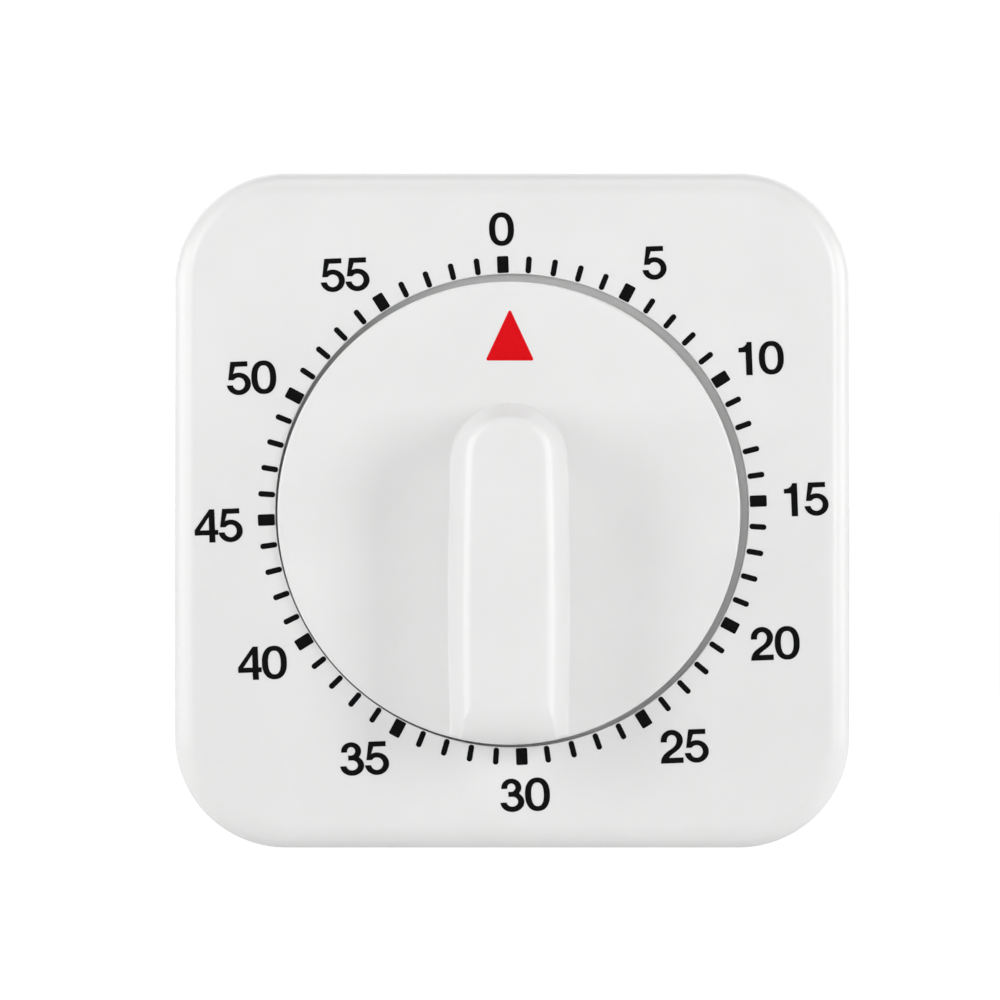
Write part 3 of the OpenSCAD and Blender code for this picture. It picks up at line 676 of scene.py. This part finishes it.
# outlines of the digits at height 1, in (x, y): the outer one, then the hole if there is one
GLYPHS = {
    "0": [ell(0.345, 0.5, 0.345, 0.505, 0, 353, 56, 2.3),
          ell(0.345, 0.5, 0.19, 0.375, 0, 353, 56, 2.4)],
    "1": [[(0.49, 0), (0.49, 1), (0.37, 1)]
          + bez((0.37, 1), (0.34, 0.88), (0.26, 0.83), (0.13, 0.83), 10)[1:]
          + [(0.13, 0.71), (0.33, 0.71), (0.33, 0)]],
    "2": [[(0.03, 0.65)] + ell(0.335, 0.69, 0.305, 0.315, 180, -30, 36)
          + bez((0.599, 0.5325), (0.52, 0.35), (0.29, 0.30), (0.225, 0.145))[1:]
          + [(0.64, 0.145), (0.64, 0), (0.015, 0)]
          + bez((0.015, 0), (0.02, 0.37), (0.43, 0.38), (0.471, 0.614))[1:]
          + ell(0.335, 0.69, 0.15, 0.18, -22, 180, 30) + [(0.185, 0.65)]],
    "3": [[(0, 0.27)] + ell(0.325, 0.29, 0.33, 0.295, 184, 407, 44)
          + ell(0.31, 0.735, 0.275, 0.265, -43, 180, 40) + [(0.035, 0.715), (0.185, 0.715)]
          + ell(0.31, 0.735, 0.125, 0.14, 178, -88, 30) + [(0.23, 0.595), (0.23, 0.465)]
          + ell(0.325, 0.30, 0.175, 0.165, 92, -176, 34) + [(0.155, 0.27)]],
    "4": [[(0.43, 0), (0.58, 0), (0.58, 0.23), (0.67, 0.23), (0.67, 0.36), (0.58, 0.36),
           (0.58, 1), (0.45, 1), (0.02, 0.38), (0.02, 0.23), (0.43, 0.23)],
          [(0.43, 0.36), (0.43, 0.79), (0.14, 0.36)]],
    "5": [[(0, 0.275)] + ell(0.33, 0.325, 0.335, 0.335, 192, 480, 44)
          + [(0.235, 0.865), (0.585, 0.865), (0.585, 1), (0.12, 1), (0.045, 0.455),
             (0.185, 0.455)]
          + ell(0.33, 0.325, 0.185, 0.205, 140, -166, 40)],
}
# x where the ink starts in a first digit and ends in a last one
INK_LEFT = {"0": 0.0, "1": 0.13, "2": 0.015, "3": 0, "4": 0.02, "5": 0}
INK_RIGHT = {"0": 0.69, "5": 0.665}

NUM_H = 3.37                            # height of the digits
NUM_ADVANCE = 2.56 / NUM_H              # from one digit to the next, for height 1
NUM_WIDE, NUM_BOLD = 1.08, 0.040        # stretch in x, and thickening of the strokes in mm
# minute: middle of its number
LABELS = {
    0: (0, 29.2), 5: (15.7, 25.1), 10: (26.4, 14.8), 15: (30.5, 0), 20: (26.7, -14.8),
    25: (16.9, -25.1), 30: (0.2, -29.5), 35: (-16.3, -25.1), 40: (-26.5, -14.8),
    45: (-30.5, -0.4), 50: (-26.5, 14.8), 55: (-16.4, 25.1),
}


def grow(points, distance):
    """A closed outline moved outwards by the distance, or inwards if it is negative."""
    following = np.roll(points, -1, 0)
    area = 0.5 * np.sum(points[:, 0] * following[:, 1] - following[:, 0] * points[:, 1])
    edges = following - points
    edges /= np.maximum(np.linalg.norm(edges, axis=1), 1e-9)[:, None]
    normals = np.stack([edges[:, 1], -edges[:, 0]], -1) * (1 if area > 0 else -1)
    mitre = normals + np.roll(normals, 1, 0)
    mitre /= np.maximum((mitre ** 2).sum(1), 0.8)[:, None]
    return points + 2 * distance * mitre


def without_repeats(outline_points):
    points = [p for i, p in enumerate(outline_points)
              if i == 0 or math.dist(p, outline_points[i - 1]) > 1e-4]
    if math.dist(points[0], points[-1]) < 1e-4:
        points = points[:-1]
    return np.array(points)


def number_outlines(text, cx, cy):
    """Outlines of a number centred by its ink at (cx, cy)."""
    left = INK_LEFT[text[0]] * NUM_WIDE
    right = (len(text) - 1) * NUM_ADVANCE + INK_RIGHT[text[-1]] * NUM_WIDE
    for k, digit in enumerate(text):
        for part, points in enumerate(map(without_repeats, GLYPHS[digit])):
            x = (points[:, 0] * NUM_WIDE + k * NUM_ADVANCE - (left + right) / 2) * NUM_H + cx
            y = (points[:, 1] - 0.5) * NUM_H + cy
            bold = NUM_BOLD if part == 0 else -NUM_BOLD
            yield print_place(grow(np.stack([x, y], -1), bold))


def build_numerals():
    curve = bpy.data.curves.new("numerals", "CURVE")
    curve.dimensions = "2D"
    curve.fill_mode = "BOTH"
    curve.extrude = 0.5 * (INK + INK_SUNK)
    for minute, (cx, cy) in LABELS.items():
        for points in number_outlines(str(minute), cx, cy):
            spline = curve.splines.new("POLY")
            spline.points.add(len(points) - 1)
            for point, (x, y) in zip(spline.points, points):
                point.co = (x, y, 0, 1)
            spline.use_cyclic_u = True
    flat = bpy.data.objects.new("numerals_tmp", curve)
    bpy.context.scene.collection.objects.link(flat)
    bpy.context.view_layer.update()
    graph = bpy.context.evaluated_depsgraph_get()
    mesh = bpy.data.meshes.new_from_object(flat.evaluated_get(graph))
    bpy.data.objects.remove(flat, do_unlink=True)
    with editing(mesh) as bm:
        bmesh.ops.remove_doubles(bm, verts=bm.verts, dist=1e-5)
        for v in bm.verts:
            x, y, z = v.co
            v.co = Vector(world((x, y, FACE + (INK - INK_SUNK) / 2 + z)))
        bmesh.ops.recalc_face_normals(bm, faces=bm.faces)
    mesh.name = "dial_numerals"
    ob = bpy.data.objects.new("dial_numerals", mesh)
    bpy.context.scene.collection.objects.link(ob)
    return smooth_edges(ob, 30)


front = build_front()
rear = build_rear()
knob = build_knob()
pointer = build_pointer()
ticks = build_ticks()
numerals = build_numerals()


# ------------------------------------------------------------------ shader helpers
class Shader:
    """The node tree of a material or world, with short calls for the common nodes."""

    def __init__(self, owner):
        owner.use_nodes = True
        self.tree = owner.node_tree
        self.tree.nodes.clear()

    def add(self, kind, inputs=None, **options):
        """New node; inputs are sockets to link or plain values, colours without alpha."""
        node = self.tree.nodes.new("ShaderNode" + kind)
        for key, value in options.items():
            setattr(node, key, value)
        for key, value in (inputs or {}).items():
            socket = node.inputs[key]
            if isinstance(value, bpy.types.NodeSocket):
                self.tree.links.new(value, socket)
            else:
                socket.default_value = (*value, 1) if socket.type == "RGBA" else value
        return node

    def noise(self, vector, scale, detail=3.0, rough=0.55):
        inputs = {"Vector": vector, "Scale": scale, "Detail": detail, "Roughness": rough}
        return self.add("TexNoise", inputs).outputs["Fac"]

    def remap(self, value, to, over=(0.3, 0.7)):
        """The range over is mapped to the range to."""
        return self.add("MapRange", {"Value": value, "From Min": over[0], "From Max": over[1],
                                     "To Min": to[0], "To Max": to[1]}).outputs["Result"]

    def mix(self, factor, a, b):
        """Blend of two colours: sockets 6 and 7 are the colour inputs, 2 the colour output."""
        return self.add("Mix", {0: factor, 6: a, 7: b}, data_type="RGBA").outputs[2]

    def calc(self, operation, *values):
        return self.add("Math", dict(enumerate(values)), operation=operation).outputs[0]

    def bump(self, height, distance, strength, normal=None):
        """Bump of a distance in mm, over an earlier one if a normal is given."""
        inputs = {"Strength": strength, "Distance": distance * MM, "Height": height}
        if normal is not None:
            inputs["Normal"] = normal
        return self.add("Bump", inputs).outputs["Normal"]

    def principled(self, inputs):
        self.add("OutputMaterial", {0: self.add("BsdfPrincipled", inputs).outputs[0]})


# ------------------------------------------------------------------ materials
def plastic(name, color, rough, subsurface=0.05, mottle=0.02, peel=0.0006, wear=0.5, shine=0.5):
    """Moulded plastic: faint mottling, varying polish, fine orange peel, edges rubbed smoother."""
    material = bpy.data.materials.new(name)
    s = Shader(material)
    coords = s.add("TexCoord")
    place = coords.outputs["Object"]
    c = np.array(color)
    flow = s.noise(place, scale=90, detail=4, rough=0.6)
    fine = s.noise(place, scale=2600, detail=2, rough=0.6)
    speck = s.noise(place, scale=5200, detail=2, rough=0.5)
    base = s.mix(s.remap(flow, to=(0, 1)), c * (1 - mottle), np.minimum(c * (1 + mottle * 0.6), 1))
    base = s.mix(s.remap(speck, to=(0, 1), over=(0.76, 0.82)), base, c * (0.90, 0.89, 0.87))
    # roundings are rubbed: the mask is where the surface turns between front and side
    normal = s.add("SeparateXYZ", {0: coords.outputs["Normal"]})
    facing = s.calc("ABSOLUTE", normal.outputs["Y"])
    turn = s.calc("MULTIPLY", s.remap(facing, to=(0, 1), over=(0.25, 0.6)),
                  s.remap(facing, to=(1, 0), over=(0.8, 0.985)))
    patches = s.noise(place, scale=320, detail=4, rough=0.7)
    edge = s.calc("MULTIPLY", turn, s.remap(patches, to=(0.2 * wear, wear), over=(0.4, 0.62)))
    base = s.mix(edge, base, np.minimum(c * (1.012, 1.01, 1.005), 0.97))
    # keep the roughness above 0.274: below it, denoising treats the surface as a mirror
    polish = s.remap(s.noise(place, scale=75, detail=3, rough=0.5),
                     to=(rough - 0.013, rough + 0.025))
    polish = s.calc("SUBTRACT", polish, s.calc("MULTIPLY", edge, 0.015))
    relief = s.bump(fine, distance=peel, strength=0.6)
    waves = s.noise(place, scale=420, detail=2, rough=0.5)
    relief = s.bump(waves, distance=0.0012, strength=0.5, normal=relief)
    s.principled({
        "Base Color": base, "Roughness": polish, "IOR": 1.53, "Specular IOR Level": shine,
        "Subsurface Weight": subsurface, "Subsurface Radius": (1.0, 0.9, 0.8),
        "Subsurface Scale": 0.0009, "Coat Roughness": 0.12, "Normal": relief})
    return material


def ink(name, color, rough=0.6):
    """Printed ink: dense black with thin spots and a slightly uneven film."""
    material = bpy.data.materials.new(name)
    s = Shader(material)
    place = s.add("TexCoord").outputs["Object"]
    thin = s.remap(s.noise(place, scale=2400, detail=4, rough=0.7), to=(0, 1), over=(0.58, 0.82))
    film = s.remap(s.noise(place, scale=700), to=(rough - 0.06, rough + 0.08))
    uneven = s.noise(place, scale=3000, detail=3, rough=0.7)
    s.principled({
        "Base Color": s.mix(thin, color, np.array(color) + 0.008), "Roughness": film,
        "IOR": 1.45, "Specular IOR Level": 0.06,
        "Normal": s.bump(uneven, distance=0.004, strength=0.5)})
    return material


def metal(name, color, rough, finish, centre, tint=None):
    """turned has rings about the part's own axis, brushed a straight grain, plain only mottling."""
    material = bpy.data.materials.new(name)
    s = Shader(material)
    coords = s.add("TexCoord").outputs["Object"]
    place = s.add("Mapping", {"Vector": coords, "Location": [-x for x in centre]}).outputs[0]
    c = np.array(color)
    stain = s.noise(place, scale=210, detail=4, rough=0.6)
    if finish == "turned":
        rings = {"Vector": place, "Scale": 1500, "Distortion": 0.6, "Detail": 3,
                 "Detail Scale": 1.2}
        grain = s.add("TexWave", rings, wave_type="RINGS", rings_direction="Y").outputs["Fac"]
    else:
        stretch, scale = ((1, 1, 18), 700) if finish == "brushed" else ((1, 1, 1), 1500)
        stretched = s.add("Mapping", {"Vector": place, "Scale": stretch}).outputs[0]
        grain = s.noise(stretched, scale=scale, detail=5, rough=0.65)
    base = s.mix(s.remap(stain, to=(0, 1)), c * 0.86, np.minimum(c * 1.06, 1))
    if tint is not None:
        base = s.mix(s.remap(s.noise(place, scale=60, detail=2), to=(0, 0.8)), base, tint)
    base = s.mix(s.calc("MULTIPLY", grain, 0.18), base, c * 0.7)
    polish = s.calc("ADD", s.remap(stain, to=(rough - 0.05, rough + 0.12)),
                    s.calc("MULTIPLY", grain, 0.06))
    relief = s.bump(grain, distance=0.004, strength=0.6)
    relief = s.bump(s.noise(place, scale=2600, detail=2), distance=0.002, strength=0.4,
                    normal=relief)
    s.principled({
        "Base Color": base, "Metallic": 1, "Roughness": polish,
        "Anisotropic": 0 if finish == "plain" else 0.35, "Normal": relief})
    return material


def give(ob, material):
    ob.data.materials.clear()
    ob.data.materials.append(material)


mat_case = plastic("case_plastic", (0.835, 0.835, 0.832), rough=0.305)
mat_rear = plastic("rear_plastic", (0.82, 0.82, 0.815), rough=0.42, peel=0.004)
mat_knob = plastic("knob_plastic", (0.845, 0.845, 0.842), rough=0.30)
mat_red = plastic("pointer_red", (0.755, 0.004, 0.009), rough=0.5, subsurface=0.0, mottle=0.05,
                  wear=0.0, shine=0.05)
mat_ink = ink("dial_ink", (0.004, 0.004, 0.0045))
for ob, material in ((front, mat_case), (rear, mat_rear), (knob, mat_knob), (pointer, mat_red),
                     (ticks, mat_ink), (numerals, mat_ink)):
    give(ob, material)

BRASS, PLATE_BRASS = (0.80, 0.62, 0.30), (0.76, 0.58, 0.28)
STEEL, ZINC, BELL = (0.60, 0.60, 0.61), (0.74, 0.74, 0.75), (0.78, 0.78, 0.79)
BLUED, BLUED_TINT = (0.10, 0.13, 0.20), (0.06, 0.09, 0.22)
# movement parts: colour, roughness, finish
METALS = {
    "great_wheel": (BRASS, 0.24, "turned"), "bell_wheel": (BRASS, 0.24, "turned"),
    "second_wheel": (BRASS, 0.24, "turned"), "third_wheel": (BRASS, 0.24, "turned"),
    "escape_wheel": (BRASS, 0.22, "turned"), "balance_wheel": (BRASS, 0.2, "turned"),
    "release_cam": (BRASS, 0.28, "turned"), "hammer_head": (BRASS, 0.3, "plain"),
    "front_plate": (PLATE_BRASS, 0.32, "brushed"), "back_plate": (PLATE_BRASS, 0.32, "brushed"),
    "main_arbor": (STEEL, 0.26, "turned"), "second_arbor": (STEEL, 0.24, "turned"),
    "third_arbor": (STEEL, 0.24, "turned"), "escape_arbor": (STEEL, 0.22, "turned"),
    "balance_staff": (STEEL, 0.2, "turned"), "star_arbor": (STEEL, 0.24, "turned"),
    "hammer_arbor": (STEEL, 0.26, "turned"), "pallet_pins": (STEEL, 0.2, "plain"),
    "lever_stud": (STEEL, 0.25, "turned"), "stop_pin": (STEEL, 0.25, "turned"),
    "click_rivet": (STEEL, 0.3, "turned"), "spring_post": (STEEL, 0.28, "turned"),
    "bell_post": (STEEL, 0.3, "turned"), "ratchet_wheel": (STEEL, 0.3, "turned"),
    "star_wheel": (STEEL, 0.3, "turned"), "click": (STEEL, 0.34, "brushed"),
    "balance_arm": (STEEL, 0.34, "brushed"), "hammer_anchor": (STEEL, 0.34, "brushed"),
    "hammer_arm": (STEEL, 0.34, "brushed"), "lock_arm": (STEEL, 0.34, "brushed"),
    "release_lever": (STEEL, 0.34, "brushed"), "pillars": (STEEL, 0.28, "plain"),
    "mainspring": (BLUED, 0.3, "brushed"), "click_spring": (BLUED, 0.28, "brushed"),
    "lever_spring": (BLUED, 0.28, "brushed"), "knob_clip": (BLUED, 0.3, "plain"),
    "case_screws": (ZINC, 0.34, "plain"), "movement_screws": (ZINC, 0.27, "plain"),
    "pillar_nuts": (ZINC, 0.3, "plain"), "bell_screw": (ZINC, 0.27, "turned"),
    "bell": (BELL, 0.16, "turned"),
}
for name, (color, rough, finish) in METALS.items():
    low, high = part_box(name)
    tint = BLUED_TINT if color is BLUED else None
    give(NODES[name], metal("metal_" + name, color, rough, finish, tuple((low + high) / 2), tint))

# ------------------------------------------------------------------ who moves with what
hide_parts("front_housing")
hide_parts("rear_cover")
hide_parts("knob")
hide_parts("red_pointer")
for ob in (front, rear, ticks, numerals):
    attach(ob, "case")
for ob, slot in ((knob, "knob_plastic"), (pointer, "pointer_red")):
    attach(ob, "knob_assembly")

# ------------------------------------------------------------------ studio (m)
scene = bpy.context.scene
FLOOR_HALF = 60.0
# strengths of floor and world: as the camera sees them, and as they light the object
FLOOR_SEEN, FLOOR_LIGHT = 0.985, 0.57
WORLD_SEEN, WORLD_LIGHT = 1.02, 0.235
# name, place, size, power; all aim at the middle of the housing
LIGHTS = [
    ("light_left", (-0.75, -0.03, 0.06), (0.5, 0.6), 2.45),
    ("light_right", (0.75, -0.03, 0.06), (0.5, 0.6), 3.0),
    ("light_left_side", (-0.72, -0.26, 0.08), (0.25, 0.6), 0.7),
    ("light_left_front", (-0.62, -0.55, 0.08), (0.22, 0.7), 1.95),
    ("light_right_front", (0.62, -0.55, 0.08), (0.22, 0.7), 3.1),
    ("light_left_up", (-0.55, -0.45, 0.45), (0.3, 0.3), 0.45),
    ("light_front", (0.0, -1.25, 0.20), (1.0, 0.35), 1.45),
    ("light_top", (0.0, -0.12, 0.85), (0.8, 0.3), 1.35),
    ("light_back", (0.0, 0.9, 0.5), (1.6, 1.0), 6.0),
]
SENSOR, LENS = 36.0, 500.0
VIEW_WIDTH = 103.68 * MM                # width of the view at the front face
CAMERA_X, CAMERA_Z = -1.262 * MM, 36.09 * MM


def floor_material():
    """Pale floor: near white with a trace of shadow to the camera, a soft glow to the object."""
    material = bpy.data.materials.new("floor")
    s = Shader(material)
    camera_ray = s.add("LightPath").outputs["Is Camera Ray"]
    from_below = s.add("NewGeometry").outputs["Backfacing"]

    def glow(strength, grey):
        diffuse = s.add("BsdfDiffuse", {"Color": (grey, grey, grey)}).outputs[0]
        emission = s.add("Emission", {"Strength": strength}).outputs[0]
        return s.add("AddShader", {0: diffuse, 1: emission}).outputs[0]

    seen = glow(FLOOR_SEEN, grey=0.08)
    lit = glow(FLOOR_LIGHT, grey=0.2)
    top = s.add("MixShader", {0: camera_ray, 1: lit, 2: seen}).outputs[0]
    clear = s.add("BsdfTransparent").outputs[0]
    both = s.add("MixShader", {0: from_below, 1: top, 2: clear}).outputs[0]
    s.add("OutputMaterial", {0: both})
    return material


def build_floor():
    mesh = bpy.data.meshes.new("floor")
    # 0.1 mm under the base: a floor in the very plane of the base shows streaks from below
    corners = [(sx * FLOOR_HALF, sy * FLOOR_HALF, -0.1 * MM)
               for sx, sy in ((-1, -1), (1, -1), (1, 1), (-1, 1))]
    mesh.from_pydata(corners, [], [(0, 1, 2, 3)])
    floor = bpy.data.objects.new("floor", mesh)
    scene.collection.objects.link(floor)
    mesh.materials.append(floor_material())


def build_world():
    studio = bpy.data.worlds.new("studio")
    scene.world = studio
    s = Shader(studio)
    camera_ray = s.add("LightPath").outputs["Is Camera Ray"]
    lit, seen = [s.add("Background", {"Color": (1, 1, 1), "Strength": strength}).outputs[0]
                 for strength in (WORLD_LIGHT, WORLD_SEEN)]
    mixed = s.add("MixShader", {0: camera_ray, 1: lit, 2: seen}).outputs[0]
    s.add("OutputWorld", {0: mixed})


def build_light(name, place, size, power):
    light = bpy.data.lights.new(name, "AREA")
    light.shape = "RECTANGLE"
    light.size, light.size_y = size
    light.energy = power
    ob = bpy.data.objects.new(name, light)
    ob.location = place
    ob.rotation_mode = "QUATERNION"
    aim = Vector((0, 0, MID_Z * MM)) - Vector(place)
    ob.rotation_quaternion = aim.to_track_quat("-Z", "Y")
    ob.visible_camera = False
    scene.collection.objects.link(ob)


def build_camera():
    camera = bpy.data.cameras.new("camera")
    camera.sensor_fit = "HORIZONTAL"
    camera.sensor_width = SENSOR
    camera.lens = LENS
    camera.clip_start, camera.clip_end = 0.01, 200
    ob = bpy.data.objects.new("camera", camera)
    ob.location = (CAMERA_X, -FACE * MM - VIEW_WIDTH * LENS / SENSOR, CAMERA_Z)
    ob.rotation_euler = (math.pi / 2, 0, 0)
    scene.collection.objects.link(ob)
    scene.camera = ob


build_floor()
build_world()
for entry in LIGHTS:
    build_light(*entry)
build_camera()
scene.view_settings.view_transform = "Standard"
